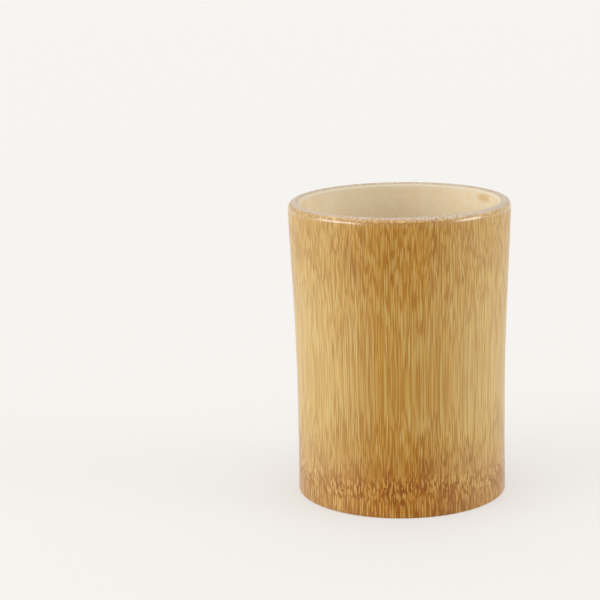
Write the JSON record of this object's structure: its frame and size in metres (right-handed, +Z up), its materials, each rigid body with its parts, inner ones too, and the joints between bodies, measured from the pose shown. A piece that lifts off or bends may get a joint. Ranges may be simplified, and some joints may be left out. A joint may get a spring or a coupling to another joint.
{
  "type": "bamboo cup",
  "caption": "Natural bamboo cup turned from one culm, with a gently flared mouth, a round lip and the node's diaphragm as its floor.",
  "frame": {"origin": "centre of the foot ring, on the plane the cup stands on", "axes": "+Z up along the cup's axis, from the foot to the lip; +X and +Y are alike, because the cup is round"},
  "size_m": [0.0745, 0.0744, 0.1],
  "materials": {
    "culm": "satin",
    "skin": "matte",
    "diaphragm": "matte"
  },
  "bodies": {
    "root": {"culm_wall": "culm", "inner_skin": "skin", "node_diaphragm": "diaphragm"}
  },
  "joints": []
}
